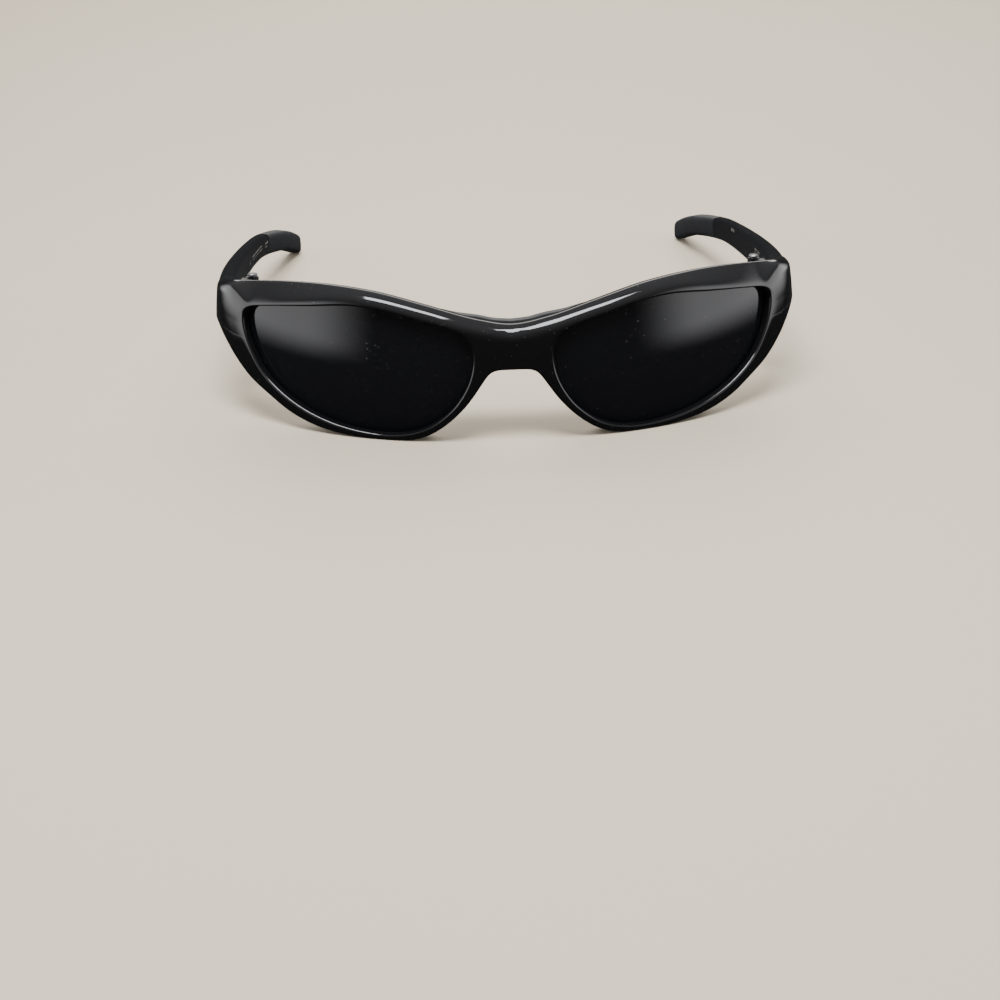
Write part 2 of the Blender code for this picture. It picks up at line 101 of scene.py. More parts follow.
# Steps round the front and across it, and how far its outlines are smoothed, in steps.
CURVE_STEPS = 12
OPENING_STEPS = 400
OPENING_SMOOTHING = 3.0
TOP_STEPS = 400
LOWER_STEPS = 600
LOWER_SMOOTHING = 5.0
LOOP_STEPS = 1060
LOOP_SMOOTHING = 2.4
CREASE_SEARCHES = 12
CREASE_SHARES = (0.3, 0.85)
INNER_CROWDING = 1.7          # how closely rows gather at the brow crease, on each side of it
OUTER_CROWDING = 1.5
WELD = 0.0005
RIM_STEPS = 460
CENTRE_STEPS = 12
INNER_STEPS = 10
OUTER_STEPS = 9
BACK_STEPS = 8
ARC_STEPS = 4
LENS_STEPS = 240
LENS_RINGS = 20

# Nose saddle: half of its outline, from the top of the middle round to the bottom of the middle.
SADDLE_OUTLINE = (
    (0, 9.7), (4, 10.1), (8, 11.1), (13, 11.9), (18.4, 13.0), (19.3, 12.0), (13, 9.4),
    (9.0, 6.6), (8.1, 2.5), (8.6, -2.0), (10.6, -6.6), (14, -10.9), (15.4, -12.6),
    (13.9, -12.6), (9.6, -8.2), (5.9, -2.6), (4.4, -0.8), (0, -0.5),
)
SADDLE_DEPTH = 4.2
SADDLE_ROUNDING = 0.75
SADDLE_GRID = 0.8
SADDLE_REACH = (20.0, 14.0)   # how far its grid goes from the middle
SADDLE_CURVE_STEPS = 6
SADDLE_SEGMENTS = 4

# Temples: top and bottom edges and thickness as (s, value).
TEMPLE_START = FRONT_END + 0.4
TEMPLE_END = 206.0
TEMPLE_TOP = (
    (87, 14.2), (97, 14.5), (110, 14.4), (125, 14.0), (150, 12.9), (162, 12.1), (186, 9.3),
    (196, 7.2), (206, 4.0),
)
TEMPLE_BOTTOM = (
    (87, 7.0), (100, 6.4), (125, 6.0), (150, 6.0), (162, 5.6), (186, 3.0), (196, 0.8),
    (206, -2.0),
)
TEMPLE_THICKNESS = ((87, 5.2), (105, 4.2), (140, 3.6), (168, 3.8), (190, 4.6), (206, 4.4))
TEMPLE_ROUNDING = ((87, 1.8), (108, 1.1), (206, 1.1))
CROWN = 0.25                  # how far the temple's faces fall away towards their edges
GRIP_START = 168.0
GRIP_WALL = 0.8
TAIL_END = 199.0
CORE_SIZE = (1.9, 1.1)
CORE_RUN = (88.5, 160.0)
CHANNEL_CLEARANCE = 0.3
CHANNEL_SPARE = 1.0
ROUNDING_SHARE = 0.35         # the most of a section's size that its corners' rounding takes
INNER_FACE = -2.6             # w past which a temple's surface is its inner face

# Rounded ends, as (distance from the end, inset), and the runs they are blended over.
TEMPLE_LEAD = ((0, 0.4), (0.12, 0.15), (0.4, 0))
TEMPLE_LIP = ((0.1, 0.03), (0.0, 0.12))
GRIP_LEAD = ((0, 0.12), (0.04, 0.03), (0.14, 0))
LEAD_RUN = 1.0
LIP_RUN = 0.5
TIP_RUN = 4.5
TIP_ROUNDING = 3.2
TIP_FULLNESS = 0.7

# Steps along the temples and tips, and round a quarter of their section.
SECTION_STEPS = 7
TEMPLE_STEPS = 110
TAIL_STEPS = 12
CHANNEL_STEPS = 24
GRIP_STEPS = 60
TIP_STEPS = 14

# The camera, in the worn position: angles in degrees, distances in millimetres.
CAMERA_TURN = -1.94
CAMERA_RISE = 20.0
CAMERA_ROLL = -1.76
CAMERA_DISTANCE = 374.2
CAMERA_TARGET = (-3.54, 15.0, -37.33)
CAMERA_LENS = 55.58
CAMERA_SENSOR = 36.0
CAMERA_CLIP = 0.01            # metres

# The studio, in metres and watts.
TABLE_SIZE = 8
TABLE_DROP = 0.0002           # keeps the table just under the rims
LIGHT_AIM = (0, -0.05, 0.01)
LIGHTS = (                    # name, place, size, power, colour
    ("overhead", (-0.05, -0.2, 0.72), (0.4, 0.26), 8.5, (0.97, 0.98, 1.0)),
    ("rear_softbox", (0.05, 0.75, 0.6), (0.9, 0.8), 9.0, (1.0, 0.96, 0.9)),
)
ROOM_COLOUR = (0.98, 0.98, 1.0, 1)
ROOM_GLOW = (0.05, 0.8)       # brightness of the room at the horizon and straight above
SIDE_GLOW = 3.2               # what is added low down at both sides

# Sockets of a Mix node set to colours.
MIX_A, MIX_B, MIX_RESULT = 6, 7, 2


# ---------------------------------------------------------------- the bent sheet

def plan(s):
    """Where the skin is in plan after a run of s from the middle, and which way it heads."""
    x, y, heading, left = 0.0, 0.0, 0.0, s
    for length, turn in WRAP_RUNS:
        run = min(left, length)
        bend = math.radians(turn) * run / length
        if bend:
            radius = run / bend
            x += radius * (math.sin(heading + bend) - math.sin(heading))
            y += radius * (math.cos(heading) - math.cos(heading + bend))
        else:
            x += run * math.cos(heading)
            y += run * math.sin(heading)
        heading += bend
        left -= run
    return x + left * math.cos(heading), y + left * math.sin(heading), heading


def wrap(s, v, w=0.0):
    """A point of the flat layout, bent round the face, in millimetres from the bridge's skin."""
    x, y, heading = plan(abs(s))
    inward = Vector((-math.sin(heading), math.cos(heading), 0))
    outward = Vector((math.sin(heading), -math.cos(heading), v / FACE_RADIUS)).normalized()
    point = Vector((x, y, v)) + inward * v * v / (2 * FACE_RADIUS) + outward * w
    if s < 0:
        point.x = -point.x
    return point


def to_row(point):
    """Tips a worn-position point so that the glasses stand on the table, in metres."""
    x, y, z = point
    back = y * math.cos(TILT) + z * math.sin(TILT) - DEPTH_CENTRE
    up = z * math.cos(TILT) - y * math.sin(TILT) + FLOOR_DROP
    return Vector((x, back, max(up, 0.0))) * MM


def curve_value(points, x):
    """A smooth curve through (x, value) points, read at x."""
    last = len(points) - 1
    i = 0
    while i < last - 1 and x > points[i + 1][0]:
        i += 1
    (x0, y0), (x1, y1) = points[i], points[i + 1]
    step = x1 - x0
    slope = (y1 - y0) / step
    before = slope if i == 0 else (y1 - points[i - 1][1]) / (x1 - points[i - 1][0])
    after = slope if i + 1 == last else (points[i + 2][1] - y0) / (points[i + 2][0] - x0)
    t = min(max((x - x0) / step, 0.0), 1.0)
    return (
        y0 * (1 + 2 * t) * (1 - t) ** 2 + before * step * t * (1 - t) ** 2
        + y1 * t * t * (3 - 2 * t) + after * step * t * t * (t - 1)
    )


def smooth_path(points, closed, steps):
    """A smooth path through 2-D points, with the same number of steps between each two."""
    points = [Vector(p) for p in points]
    count = len(points)
    path = []
    for i in range(count if closed else count - 1):
        a, b = points[i], points[(i + 1) % count]
        before = points[i - 1] if closed or i else a
        after = points[(i + 2) % count] if closed or i + 2 < count else b
        for k in range(steps):
            t = k / steps
            path.append(
                a * (1 + 2 * t) * (1 - t) ** 2 + (b - before) / 2 * t * (1 - t) ** 2
                + b * t * t * (3 - 2 * t) + (after - a) / 2 * t * t * (t - 1)
            )
    if not closed:
        path.append(points[-1])
    return path


def spaced(path, count):
    """count + 1 points at equal distances along a path, its ends included."""
    reach = [0.0]
    for a, b in zip(path, path[1:]):
        reach.append(reach[-1] + (b - a).length)
    found, i = [], 0
    for k in range(count + 1):
        goal = reach[-1] * k / count
        while i < len(path) - 2 and reach[i + 1] < goal:
            i += 1
        found.append(path[i].lerp(path[i + 1], (goal - reach[i]) / (reach[i + 1] - reach[i])))
    return found


def softened(path, reach, closed=False):
    """An evenly spaced path, smoothed over a reach counted in its own steps; an open one keeps
    its ends."""
    points = np.array([tuple(p) for p in path])
    for _ in range(round(2 * reach * reach)):
        moved = points / 2 + (np.roll(points, 1, 0) + np.roll(points, -1, 0)) / 4
        if not closed:
            moved[0], moved[-1] = points[0], points[-1]
        points = moved
    return [Vector(p) for p in points]


def stations(start, end, count):
    return [start + (end - start) * k / count for k in range(count + 1)]


# ---------------------------------------------------------------- meshes

def bridge_rings(bm, first, second):
    """Quads between two rings of the same number of corners."""
    for k in range(len(first)):
        after = (k + 1) % len(first)
        bm.faces.new((first[k], first[after], second[after], second[k]))


def bent(bm, layout, place):
    """A corner bent round the face, which remembers its place in the flat layout."""
    vert = bm.verts.new(wrap(*place))
    vert[layout] = place
    return vert


def loft(outer, hollow):
    """A solid through rings of flat-layout corners; the hollow rings sink a blind hole into its
    starting end."""
    bm = bmesh.new()
    layout = bm.verts.layers.float_vector.new("layout")
    rings = [[bent(bm, layout, place) for place in ring] for ring in outer]
    for first, second in zip(rings, rings[1:]):
        bridge_rings(bm, first, second)
    bm.faces.new(rings[-1])
    inner = [[bent(bm, layout, place) for place in ring] for ring in hollow]
    bridge_rings(bm, rings[0], inner[0])
    for first, second in zip(inner, inner[1:]):
        bridge_rings(bm, first, second)
    bm.faces.new(inner[-1])
    return bm


def finished(name, bm, finish, body, replaces, side=1, sharp=35):
    """A piece from millimetre geometry on the left side, mirrored to the right for side -1: its
    shading, finish and body, and the node it stands for."""
    bmesh.ops.recalc_face_normals(bm, faces=bm.faces)
    for vert in bm.verts:
        vert.co = to_row((vert.co.x * side, vert.co.y, vert.co.z))
    if side < 0:
        bmesh.ops.reverse_faces(bm, faces=bm.faces)
    mesh = bpy.data.meshes.new(name)
    bm.to_mesh(mesh)
    bm.free()
    mesh.shade_smooth()
    mesh.set_sharp_from_angle(angle=math.radians(sharp))
    mesh.materials.append(finish)
    piece = bpy.data.objects.new(name, mesh)
    bpy.context.scene.collection.objects.link(piece)
    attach(piece, body)
    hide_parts(*replaces)


# ---------------------------------------------------------------- front frame and lenses

def opening_path():
    """The lens opening's outline, evenly spaced and free of ripples."""
    path = smooth_path(OPENING, True, CURVE_STEPS)
    evened = spaced(path + path[:1], OPENING_STEPS)[:-1]
    return softened(evened, OPENING_SMOOTHING, closed=True)


def opening_reach(direction, path):
    """How far the lens opening's edge is from the lens centre in a direction."""
    centre = Vector(LENS_CENTRE)
    for a, b in zip(path, path[1:] + path[:1]):
        p, q = a - centre, b - centre
        cross_p = direction.x * p.y - direction.y * p.x
        cross_q = direction.x * q.y - direction.y * q.x
        if cross_p * cross_q <= 0 and cross_p != cross_q:
            hit = p.lerp(q, cross_p / (cross_p - cross_q))
            if hit.dot(direction) > 0:
                return hit.length
    raise ValueError("the lens centre is outside the opening")


def eased(x, rounding):
    """Zero below zero and x above it, with a rounded turn."""
    return (x + math.sqrt(x * x + rounding * rounding)) / 2


def skin_depth(s, v):
    """How deep a point of the front lies below the skin, with rounded creases: the brow facet,
    and past it the rounded shoulder."""
    crease = curve_value(BROW_CREASE, s)
    top = curve_value(BROW_TOP, s)
    rise = eased(v - crease, CREASE_ROUNDING) / (top - crease)
    inner = MITRE_FOOT + MITRE_INNER * min(rise, 1.0)
    outer = MITRE_FOOT + MITRE_OUTER * min(rise, 1.0) + MITRE_WIDTH
    run = eased(s - inner, CREASE_ROUNDING) - eased(s - outer, CREASE_ROUNDING)
    fade = max(0.0, 1 - run / (outer - inner))
    over = min(eased(v - top + SHOULDER, SHOULDER_EASING), SHOULDER * SHOULDER_LIMIT)
    shoulder = SHOULDER - math.sqrt(SHOULDER ** 2 - over ** 2)
    return -curve_value(FACET_DEPTH, s) * rise * fade - shoulder * (1 - fade)


def outer_outline():
    """The left half's outer outline as (point, inward direction, flare), from the middle of the
    brow round the butt to the middle of the arch."""
    top = [Vector((s, curve_value(BROW_TOP, s))) for s in stations(0, FRONT_END, TOP_STEPS)]
    lower = smooth_path(LOWER_EDGE, False, CURVE_STEPS)
    lower = softened(spaced(lower, LOWER_STEPS), LOWER_SMOOTHING)
    loop = softened(spaced(top + lower, LOOP_STEPS), LOOP_SMOOTHING)
    step = sum((b - a).length for a, b in zip(loop, loop[1:])) / RIM_STEPS
    loop = spaced(loop, RIM_STEPS)
    foot = min(range(len(loop)), key=lambda i: (loop[i] - lower[0]).length)
    rim = []
    for i, point in enumerate(loop):
        if i == 0:
            along = Vector((1, 0))
        elif i == RIM_STEPS:
            along = Vector((-1, 0))
        else:
            along = (loop[i + 1] - loop[i - 1]).normalized()
        from_ends = min(i - foot, RIM_STEPS - i) * step
        flare = FLARE * min(max(from_ends / FLARE_RUN, 0.0), 1.0)
        rim.append((point, Vector((along.y, -along.x)), flare))
    return rim


def crease_share(start, end):
    """How far along a line from the opening to the outer edge the brow crease is met, as a
    fraction."""
    low, high = 0.0, 1.0
    for _ in range(CREASE_SEARCHES):
        middle = (low + high) / 2
        point = start.lerp(end, middle)
        if point.y > curve_value(BROW_CREASE, point.x):
            high = middle
        else:
            low = middle
    return min(max(high, CREASE_SHARES[0]), CREASE_SHARES[1])


def arc(start_turn=0.0):
    """Turns from a starting angle up to a right angle."""
    return [start_turn + (math.pi / 2 - start_turn) * k / ARC_STEPS for k in range(ARC_STEPS + 1)]


def frame_section(point, inward, flare, path):
    """One cross-section of the front frame, from the opening's front edge round to its groove;
    inward is None where it ends on the middle line."""
    centre = Vector(LENS_CENTRE)
    direction = (point - centre).normalized()
    opening = centre + direction * opening_reach(direction, path)
    back, groove = -FRAME_DEPTH, opening + direction * GROOVE_DEPTH
    lip = opening + direction * EDGE
    edge, radius, slope = point, 0.0, 0.0
    if inward:
        fall = skin_depth(*(point + inward * SLOPE_REACH)) - skin_depth(*point)
        slope = math.atan(max(0.0, fall) / SLOPE_REACH)
        radius = EDGE * (1 + EDGE_GROWTH * math.sin(slope))
        edge = point + inward * radius * (1 - math.sin(slope))

    share = crease_share(lip, edge)
    fractions = [
        share * (1 - (1 - k / INNER_STEPS) ** INNER_CROWDING) for k in range(1, INNER_STEPS + 1)
    ]
    fractions += [
        share + (1 - share) * (k / OUTER_STEPS) ** OUTER_CROWDING
        for k in range(1, OUTER_STEPS + 1)
    ]
    across = [lip.lerp(edge, f) for f in fractions]
    lip_depth = skin_depth(*lip)

    section = [
        (opening + direction * EDGE * (1 - math.cos(a)), lip_depth - EDGE * (1 - math.sin(a)))
        for a in arc()
    ]
    section += [(p, skin_depth(*p)) for p in across]
    edge_depth = skin_depth(*edge)
    if inward:
        for a in arc(slope)[1:]:
            out = radius * (math.sin(a) - math.sin(slope))
            drop = radius * (math.cos(slope) - math.cos(a))
            section.append((edge - inward * out, edge_depth - drop))
        side_top = section[-1][1]
        foot = point - inward * flare
        for k in (1, 2):
            depth = side_top + (back + EDGE - side_top) * k / 3
            section.append((point.lerp(foot, k / 3), depth))
        for a in arc():
            corner = foot + inward * EDGE * (1 - math.cos(a))
            section.append((corner, back + EDGE * (1 - math.sin(a))))
    else:
        section += [None] * (2 * ARC_STEPS + 2) + [(edge, back)]
    back_edge = section[-1][0]
    section += [(back_edge.lerp(lip, k / BACK_STEPS), back) for k in range(1, BACK_STEPS + 1)]
    section += [
        (lip - direction * EDGE * math.sin(a), back + EDGE * (1 - math.cos(a))) for a in arc()[1:]
    ]
    section += [(opening, -LENS_RECESS - GROOVE_WIDTH), (groove, -LENS_RECESS - GROOVE_WIDTH)]
    return section + [(groove, -LENS_RECESS), (opening, -LENS_RECESS)]


def front_frame_mesh(path):
    """The whole front: both halves' rings of cross-sections, joined along the bridge's middle."""
    rim = outer_outline()
    foot, head = rim[-1][0], rim[0][0]
    middle = [
        (foot.lerp(head, k / CENTRE_STEPS), None, 0.0) for k in range(1, CENTRE_STEPS)
    ]
    sections = [frame_section(*station, path) for station in middle + rim]
    width = len(sections[0])
    bm = bmesh.new()
    for side in (1, -1):
        rows = [
            [
                corner and bm.verts.new(wrap(side * corner[0].x, corner[0].y, corner[1]))
                for corner in section
            ]
            for section in sections
        ]
        for i, row in enumerate(rows):
            after = rows[(i + 1) % len(rows)]
            for k in range(width):
                corners = (row[k], row[(k + 1) % width], after[(k + 1) % width], after[k])
                if None not in corners:
                    bm.faces.new(corners)
    bmesh.ops.remove_doubles(bm, verts=bm.verts, dist=WELD)
    return bm


def lens_mesh(path):
    """A lens: the opening's outline, reaching into the groove, as a shell of even thickness."""
    centre = Vector(LENS_CENTRE)
    outline = []
    for point in spaced(path + path[:1], LENS_STEPS)[:-1]:
        reach = point - centre
        outline.append(reach + reach.normalized() * (GROOVE_DEPTH - GAP))
    front = -LENS_RECESS - (GROOVE_WIDTH - LENS_THICKNESS) / 2
    bm = bmesh.new()
    shells = []
    for depth in (front, front - LENS_THICKNESS):
        rings = []
        for k in range(LENS_RINGS, 0, -1):
            ring = [centre + reach * k / LENS_RINGS for reach in outline]
            rings.append([bm.verts.new(wrap(p.x, p.y, depth)) for p in ring])
        middle = bm.verts.new(wrap(centre.x, centre.y, depth))
        for outer, inner in zip(rings, rings[1:]):
            bridge_rings(bm, outer, inner)
        for a, b in zip(rings[-1], rings[-1][1:] + rings[-1][:1]):
            bm.faces.new((a, b, middle))
        shells.append(rings[0])
    bridge_rings(bm, shells[0], shells[1])
    return bm


# ---------------------------------------------------------------- nose saddle

def nose_saddle_mesh():
    """The rubber saddle behind the bridge: its outline given depth, rounded, cut into a grid
    and bent."""
    half = smooth_path(SADDLE_OUTLINE, False, SADDLE_CURVE_STEPS)
    outline = [(p.x, p.y) for p in half] + [(-p.x, p.y) for p in reversed(half[1:-1])]
    bm = bmesh.new()
    bm.faces.new([bm.verts.new((s, v, 0)) for s, v in outline])
    grown = bmesh.ops.extrude_face_region(bm, geom=bm.faces[:])
    for vert in [g for g in grown["geom"] if isinstance(g, bmesh.types.BMVert)]:
        vert.co.z = SADDLE_DEPTH
    bmesh.ops.recalc_face_normals(bm, faces=bm.faces)
    rims = [e for e in bm.edges if abs(e.verts[0].co.z - e.verts[1].co.z) < 0.01]
    bmesh.ops.bevel(
        bm, geom=rims, offset=SADDLE_ROUNDING, offset_type="OFFSET", segments=SADDLE_SEGMENTS,
        profile=0.5, affect="EDGES", clamp_overlap=True,
    )
    for axis, reach in zip((Vector((1, 0, 0)), Vector((0, 1, 0))), SADDLE_REACH):
        cuts = round(reach / SADDLE_GRID)
        for k in range(-cuts, cuts + 1):
            geometry = bm.verts[:] + bm.edges[:] + bm.faces[:]
            cut = axis * k * SADDLE_GRID
            bmesh.ops.bisect_plane(bm, geom=geometry, plane_co=cut, plane_no=axis)
    front = -FRAME_DEPTH - GAP
    for vert in bm.verts:
        s, v, depth = vert.co
        vert.co = wrap(s, v, front - depth)
    bmesh.ops.triangulate(bm, faces=[f for f in bm.faces if len(f.verts) > 4])
    return bm


# ---------------------------------------------------------------- temples and tips

def section_ring(s, inset=0.0, size=None, scale=1.0, crown=CROWN):
    """A rounded cross-section of the temple at s, or of a strip of its own size at its middle."""
    top, bottom = curve_value(TEMPLE_TOP, s) - inset, curve_value(TEMPLE_BOTTOM, s) + inset
    thickness = curve_value(TEMPLE_THICKNESS, s)
    height, depth = size or (top - bottom, thickness - 2 * inset)
    height, depth = height * scale, depth * scale
    radius = curve_value(TEMPLE_ROUNDING, s) - inset / 2
    radius = min(radius, depth * ROUNDING_SHARE, height * ROUNDING_SHARE)
    flat = height / 2 - radius
    steps = SECTION_STEPS
    inner_steps = range(1, steps)
    ring = []
    for quarter in range(4):
        up = 1 if quarter < 2 else -1
        out = 1 if quarter in (0, 3) else -1
        turns = [math.radians(90 * quarter + 90 * k / (steps - 1)) for k in range(steps)]
        middle = out * (depth / 2 - radius)
        corner = [
            (up * flat + radius * math.sin(t), middle + radius * math.cos(t)) for t in turns
        ]
        if quarter == 1:
            corner += [(flat - 2 * flat * k / steps, -depth / 2) for k in inner_steps]
        if quarter == 3:
            corner += [(-flat + 2 * flat * k / steps, depth / 2) for k in inner_steps]
        for v, w in corner:
            fall = crown * scale * (2 * v / height) ** 2 * (w / (depth / 2))
            ring.append((s, (top + bottom) / 2 + v, w - thickness / 2 - fall))
    return ring


def temple_mesh():
    """A temple: full section to the grip, a thinner tail inside it, and a blind channel for its
    core."""
    channel_size = [size + 2 * CHANNEL_CLEARANCE for size in CORE_SIZE]
    body_run = (TEMPLE_START + LEAD_RUN, GRIP_START - LIP_RUN)
    channel_run = (TEMPLE_START, CORE_RUN[1] + CHANNEL_SPARE)
    lead = [section_ring(TEMPLE_START + at, inset=inset) for at, inset in TEMPLE_LEAD]
    body = [section_ring(s) for s in stations(*body_run, TEMPLE_STEPS)]
    lip = [section_ring(GRIP_START - back, inset=inset) for back, inset in TEMPLE_LIP]
    tail = [
        section_ring(s, inset=GRIP_WALL + GAP) for s in stations(GRIP_START, TAIL_END, TAIL_STEPS)
    ]
    channel = [
        section_ring(s, size=channel_size, crown=0.0) for s in stations(*channel_run, CHANNEL_STEPS)
    ]
    return loft(lead + body + lip + tail, channel)


def grip_mesh():
    """A rubber tip: a socket over the temple's tail, with a rounded end."""
    start = GRIP_START + GAP
    body_run = (start + LEAD_RUN, TEMPLE_END - TIP_RUN)
    lead = [section_ring(start + at, inset=inset) for at, inset in GRIP_LEAD]
    body = [section_ring(s) for s in stations(*body_run, GRIP_STEPS)]
    turns = [math.pi / 2 * k / TIP_STEPS for k in range(TIP_STEPS)]
    end = []
    for t in turns:
        s = TEMPLE_END - TIP_ROUNDING * (1 - math.sin(t))
        end.append(section_ring(s, scale=math.cos(t) ** TIP_FULLNESS))
    socket = [
        section_ring(s, inset=GRIP_WALL) for s in stations(start, TAIL_END + GAP, TAIL_STEPS)
    ]
    return loft(lead + body + end, socket)


# ---------------------------------------------------------------- finishes

class Signal:
    """A value on its way through a material; arithmetic on it adds Math nodes."""

    def __init__(self, socket):
        self.socket = socket

    def math(self, operation, first, second=0.0):
        made = self.socket.id_data.nodes.new("ShaderNodeMath")
        made.operation = operation
        for place, value in enumerate((first, second)):
            feed(made.inputs[place], value)
        return Signal(made.outputs[0])

    def __add__(self, other):
        return self.math("ADD", self, other)

    def __sub__(self, other):
        return self.math("SUBTRACT", self, other)

    def __rsub__(self, other):
        return self.math("SUBTRACT", other, self)

    def __mul__(self, other):
        return self.math("MULTIPLY", self, other)

    def __gt__(self, other):
        return self.math("GREATER_THAN", self, other)

    def __lt__(self, other):
        return self.math("LESS_THAN", self, other)

    def __mod__(self, other):
        return self.math("FLOORED_MODULO", self, other)

    __radd__ = __add__
    __rmul__ = __mul__


def feed(socket, value):
    """Links a signal into a socket, or sets a plain value on it."""
    if isinstance(value, Signal):
        socket.id_data.links.new(value.socket, socket)
    else:
        socket.default_value = value


def add_node(tree, kind, settings, inputs, output=0):
    """Adds one node: its type, its settings, then its sockets' values or links."""
    made = tree.nodes.new(kind)
    for setting, value in settings.items():
        setattr(made, setting, value)
    for socket, value in inputs.items():
        feed(made.inputs[socket], value)
    return Signal(made.outputs[output])


def smooth_step(tree, value, low, high, to_low, to_high):
    """A smooth step from one value to another."""
    inputs = {
        "Value": value, "From Min": low, "From Max": high, "To Min": to_low, "To Max": to_high,
    }
    return add_node(tree, "ShaderNodeMapRange", {"interpolation_type": "SMOOTHSTEP"}, inputs)


class Finish:
    """A material being made round a Principled shader; constants go straight onto the shader's
    sockets."""

    def __init__(self, name, **constants):
        self.material = bpy.data.materials.new(name)
        self.material.use_nodes = True
        self.tree = self.material.node_tree
        self.shader = self.tree.nodes["Principled BSDF"]
        for socket, value in constants.items():
            self.set(socket.replace("_", " "), value)

    def set(self, socket, value):
        feed(self.shader.inputs[socket], value)

    def node(self, kind, settings, inputs, output=0):
        return add_node(self.tree, kind, settings, inputs, output)

    def place(self):
        return self.node("ShaderNodeTexCoord", {}, {}, "Object")

    def layout(self):
        """Where a point of a temple is in the flat layout, in millimetres, and whether it is on
        the inner face."""
        place = self.node("ShaderNodeAttribute", {"attribute_name": "layout"}, {}, "Vector")
        parts = {"Vector": place}
        s, v, w = (self.node("ShaderNodeSeparateXYZ", {}, parts, axis) for axis in "XYZ")
        return s, v, w < INNER_FACE

    def noise(self, scale, detail=2.0, roughness=0.5, vector=None):
        inputs = {
            "Vector": vector or self.place(), "Scale": scale, "Detail": detail,
            "Roughness": roughness,
        }
        return self.node("ShaderNodeTexNoise", {}, inputs)

    def stretched(self, scale):
        return self.node("ShaderNodeMapping", {}, {"Vector": self.place(), "Scale": scale})

    def step(self, value, low, high, to_low=0.0, to_high=1.0):
        return smooth_step(self.tree, value, low, high, to_low, to_high)

    def colours(self, share, first, second):
        inputs = {"Factor": share, MIX_A: first, MIX_B: second}
        return self.node("ShaderNodeMix", {"data_type": "RGBA"}, inputs, MIX_RESULT)

    def bump(self, height, strength, distance):
        inputs = {"Height": height, "Strength": strength, "Distance": distance}
        self.set("Normal", self.node("ShaderNodeBump", {}, inputs, "Normal"))


def between(value, low, high):
    return (value > low) * (value < high)


def dots(s, v, first, pitch, count, height, radius):
    """A row of printed dots at one height."""
    across = (s - (first - pitch / 2)) % pitch - pitch / 2
    up = v - height
    inside = across * across + up * up < radius * radius
    return inside * between(s, first - pitch / 2, first + (count - 0.5) * pitch)


def dashes(s, v, first, pitch, count, height, size):
    """A row of printed dashes of a (length, height) size."""
    across = (s - first) % pitch < size[0]
    rows = between(v, height - size[1] / 2, height + size[1] / 2)
    return across * rows * between(s, first, first + count * pitch)


def dust(finish, share):
    """Scattered specks of dust, about a tenth of a millimetre across, thicker in some places."""
    speck = finish.noise(scale=4200, detail=0.0)
    patches = finish.noise(scale=45, detail=2.0)
    return finish.step(speck - patches * 0.12, low=0.8 - share, high=0.83 - share)


def moulded_gloss(name, colour, pad_print=None):
    """Polished black moulding: faint smudges, hairline scratches, a little dust, and a plain
    pad print."""
    finish = Finish(name, IOR=1.5, Specular_IOR_Level=0.45)
    specks = dust(finish, share=0.0)
    smudge = finish.step(finish.noise(scale=70, detail=3.0), low=0.5, high=0.75)
    hair = finish.noise(scale=900, detail=1.0, vector=finish.stretched((0.05, 1, 1)))
    scratch = finish.step(hair, low=0.66, high=0.7)
    tone = finish.colours(specks * 0.6, colour, (0.32, 0.31, 0.3, 1))
    gloss = 0.06 + smudge * 0.06 + specks * 0.4 + scratch * 0.05
    if pad_print:
        wear = finish.noise(scale=1400, detail=2.0)
        worn = finish.step(wear, low=0.3, high=0.65, to_low=0.25, to_high=1.0)
        ink = pad_print(finish) * worn
        tone = finish.colours(ink, tone, (0.3, 0.3, 0.295, 1))
        gloss = gloss + ink * 0.3
    finish.set("Base Color", tone)
    finish.set("Roughness", gloss)
    waves = finish.noise(scale=260, detail=1.0)
    finish.bump(waves * 0.5 + scratch * 0.1, strength=0.04, distance=0.0002)
    return finish.material


def right_print(finish):
    """The right temple's inner print: a bar, a row of dashes over dots, and a short group."""
    s, v, inside = finish.layout()
    bar = dashes(s, v, first=135.6, pitch=3.0, count=1, height=9.6, size=(0.5, 1.6))
    upper = dashes(s, v, first=139.6, pitch=2.2, count=8, height=10.2, size=(1.4, 0.4))
    lower = dots(s, v, first=140.3, pitch=1.1, count=16, height=9.2, radius=0.24)
    group = dots(s, v, first=162.2, pitch=1.6, count=3, height=9.7, radius=0.38)
    group_end = dots(s, v, first=163.0, pitch=1.6, count=2, height=8.7, radius=0.3)
    return (bar + upper + lower + group + group_end) * inside


def left_print(finish):
    """The left temple's inner print: two dots near the middle and a block near the hinge."""
    s, v, inside = finish.layout()
    pair = dots(s, v, first=143.4, pitch=2.2, count=2, height=12.0, radius=0.5)
    top = dots(s, v, first=108.6, pitch=1.5, count=5, height=12.3, radius=0.42)
    middle = dots(s, v, first=109.4, pitch=1.5, count=5, height=11.2, radius=0.4)
    bottom = dots(s, v, first=110.9, pitch=1.5, count=3, height=10.1, radius=0.36)
    return (pair + top + middle + bottom) * inside


def smoke_lens():
    """Very dark polycarbonate, with a faint haze of wiping and specks of dust."""
    finish = Finish("smoke_lens", IOR=1.5, Specular_IOR_Level=0.4, Alpha=0.975)
    specks = dust(finish, share=0.0)
    haze = finish.step(finish.noise(scale=55, detail=4.0, roughness=0.6), low=0.48, high=0.8)
    tone = finish.colours(specks * 0.5, (0.004, 0.0045, 0.006, 1), (0.3, 0.3, 0.3, 1))
    finish.set("Base Color", tone)
    finish.set("Roughness", 0.025 + haze * 0.05 + specks * 0.4)
    return finish.material


